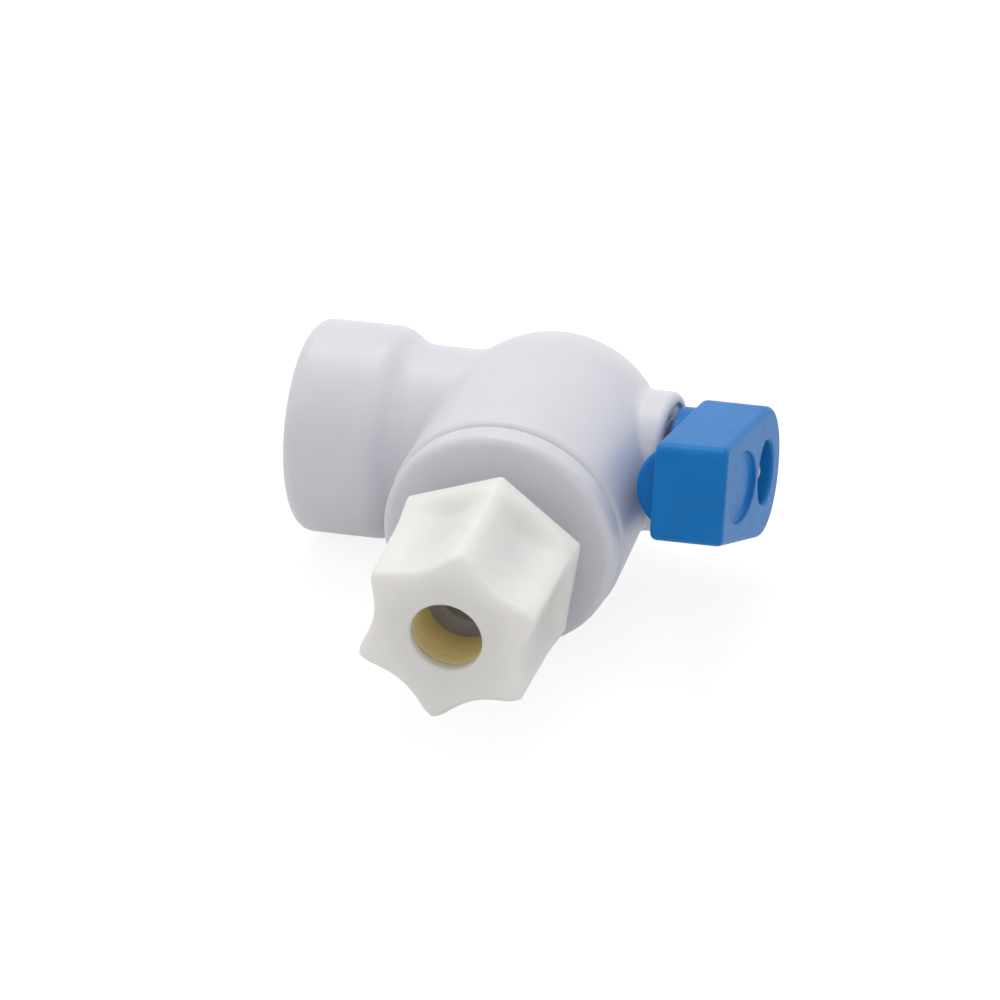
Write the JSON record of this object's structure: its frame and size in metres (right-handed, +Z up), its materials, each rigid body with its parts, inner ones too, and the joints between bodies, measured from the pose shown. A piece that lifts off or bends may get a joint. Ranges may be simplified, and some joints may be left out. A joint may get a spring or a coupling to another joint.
{
  "type": "tank shut-off valve elbow",
  "caption": "White plastic angle shut-off valve for a water tank: threaded tank port, quarter-turn blue lever and a lobed compression nut for a plastic tube.",
  "frame": {"origin": "centre of the tank port's mouth", "axes": "+X runs in along the tank port and out along the stem to the lever, -Y points out of the outlet, +Z is up"},
  "size_m": [0.0432, 0.0454, 0.022],
  "materials": {
    "white_plastic": "smooth moulded white plastic with a slight cool tint",
    "blue_plastic": "satin moulded blue plastic",
    "ivory_plastic": "milky natural plastic, slightly see-through at thin edges",
    "cream_plastic": "cream moulded plastic",
    "ball_plastic": "polished hard white plastic",
    "seat_plastic": "waxy white seat plastic",
    "seal_rubber": "black seal rubber",
    "bright_metal": "bright plated steel"
  },
  "bodies": {
    "valve": {"valve_body": "white_plastic", "end_cap": "white_plastic", "cap_seal_ring": "seal_rubber", "outlet_seat": "seat_plastic", "rear_seat": "seat_plastic"},
    "lever_group": {"ball": "ball_plastic", "stem": "ball_plastic", "thrust_washer": "seat_plastic", "inner_stem_seal": "seal_rubber", "outer_stem_seal": "seal_rubber", "lever": "blue_plastic", "lever_screw": "bright_metal"},
    "sleeve_group": {"tube_sleeve": "cream_plastic", "tube_gripper": "cream_plastic"},
    "nut": {"compression_nut": "ivory_plastic"}
  },
  "joints": [
    {"name": "lever_turn", "type": "hinge", "parent": "valve", "child": "lever_group", "pos_m": [0.0229, 0, 0], "axis": [-1, 0, 0], "range_deg": [-20.7, 69.3]},
    {"name": "nut_travel", "type": "slide", "parent": "valve", "child": "sleeve_group", "axis": [0, 1, 0], "range_m": [-0.00626, 0.0026]},
    {"name": "nut_turn", "type": "hinge", "parent": "sleeve_group", "child": "nut", "pos_m": [0.0229, -0.0344, 0], "axis": [0, 1, 0], "range_deg": [-1800, 720]}
  ],
  "couplings": [
    {"joint": "nut_travel", "follows": "nut_turn", "m_per_rad": 0.00019894}
  ]
}
